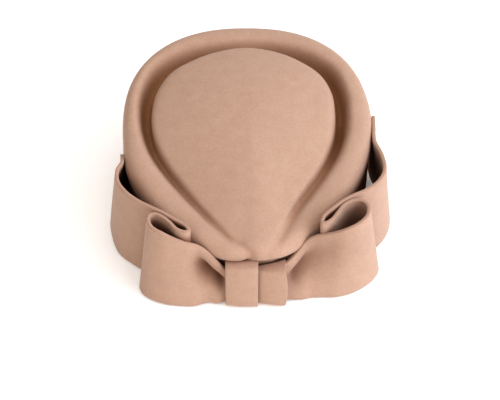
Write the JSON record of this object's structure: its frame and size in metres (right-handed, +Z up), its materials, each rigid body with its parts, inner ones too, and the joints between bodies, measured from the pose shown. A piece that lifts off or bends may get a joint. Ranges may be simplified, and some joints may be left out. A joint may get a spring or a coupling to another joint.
{
  "type": "pillbox hat",
  "caption": "Blocked wool-felt pillbox hat with a teardrop groove pressed into its crown and a felt side band that folds into a bow and strap knot at the back.",
  "frame": {"origin": "under the middle of the hat's box, on the plane that the rim rests on", "axes": "+X to the wearer's right, +Y to the wearer's front, +Z up through the crown"},
  "size_m": [0.2166, 0.2192, 0.0945],
  "materials": {
    "crown_felt": "matt wool felt",
    "band_felt": "matt wool felt",
    "strap_felt": "matt wool felt"
  },
  "bodies": {
    "root": {"crown": "crown_felt", "band_left": "band_felt", "band_right": "band_felt", "knot_strap_left": "strap_felt", "knot_strap_right": "strap_felt"}
  },
  "joints": []
}
